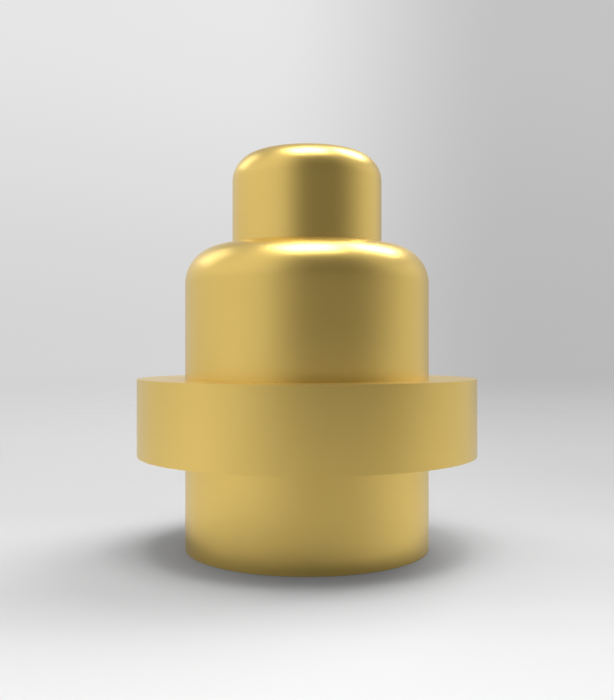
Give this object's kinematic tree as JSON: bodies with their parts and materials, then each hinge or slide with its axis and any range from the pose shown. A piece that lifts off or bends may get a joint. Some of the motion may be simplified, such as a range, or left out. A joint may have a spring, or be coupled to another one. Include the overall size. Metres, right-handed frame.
{
  "type": "pogo pin",
  "caption": "Flanged spring-loaded contact pin: a round-headed plunger slides in a short turned barrel, pushed out by a coil spring and held in by the barrel's rolled rim.",
  "frame": {"origin": "middle of the flat end of the tail, where the pin stands on a surface", "axes": "+Z along the pin, from the tail to the contact head; X and Y are any two directions across it"},
  "size_m": [0.0036, 0.0036, 0.0042],
  "materials": {
    "gold_plating": "satin gold plating over turned brass, with fine turning grain",
    "spring_wire": "smooth drawn stainless spring wire"
  },
  "bodies": {
    "barrel": {"barrel": "gold_plating", "spring": "spring_wire"},
    "plunger": {"plunger": "gold_plating"}
  },
  "joints": [
    {"name": "plunger_slide", "type": "slide", "parent": "barrel", "child": "plunger", "axis": [0, 0, -1], "range_m": [0, 0.0008], "stiffness_N_per_m": 1010, "deforming": ["spring"]}
  ]
}
